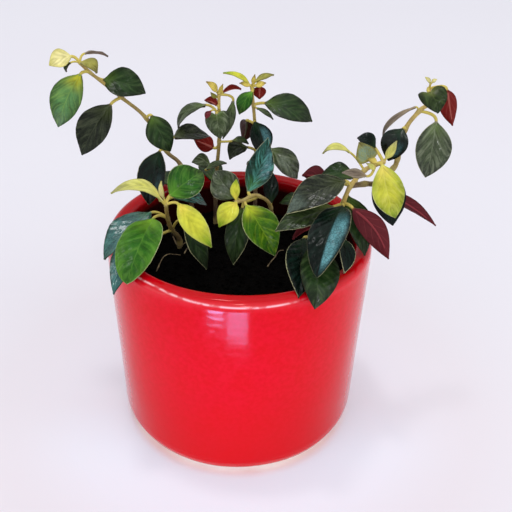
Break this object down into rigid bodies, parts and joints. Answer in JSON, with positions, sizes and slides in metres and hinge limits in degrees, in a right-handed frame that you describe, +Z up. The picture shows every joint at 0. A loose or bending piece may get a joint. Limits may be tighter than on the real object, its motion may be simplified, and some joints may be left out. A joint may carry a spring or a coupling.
{
  "type": "potted goldfish plant",
  "caption": "Leafy goldfish plant with arching stems of small pointed glossy leaves, in a round thick-walled glazed pot filled with soil.",
  "frame": {"origin": "middle of the pot's foot, where it stands", "axes": "+Z up along the pot's axis, -Y towards the front, +X to the right seen from the front"},
  "size_m": [0.1908, 0.1331, 0.1903],
  "materials": {
    "pot_red_glaze": "thick glossy red glaze",
    "potting_soil": "dark damp crumbs",
    "dark_green_foliage": "waxy leaves, half glossy"
  },
  "bodies": {
    "root": {"pot": "pot_red_glaze", "soil": "potting_soil", "stem_left_arching": "dark_green_foliage", "stem_back_left": "dark_green_foliage", "stem_back_middle": "dark_green_foliage", "stem_middle_low": "dark_green_foliage", "stem_front_left": "dark_green_foliage", "stem_right_forked": "dark_green_foliage", "stem_right_short": "dark_green_foliage", "stem_back_short": "dark_green_foliage"}
  },
  "joints": []
}
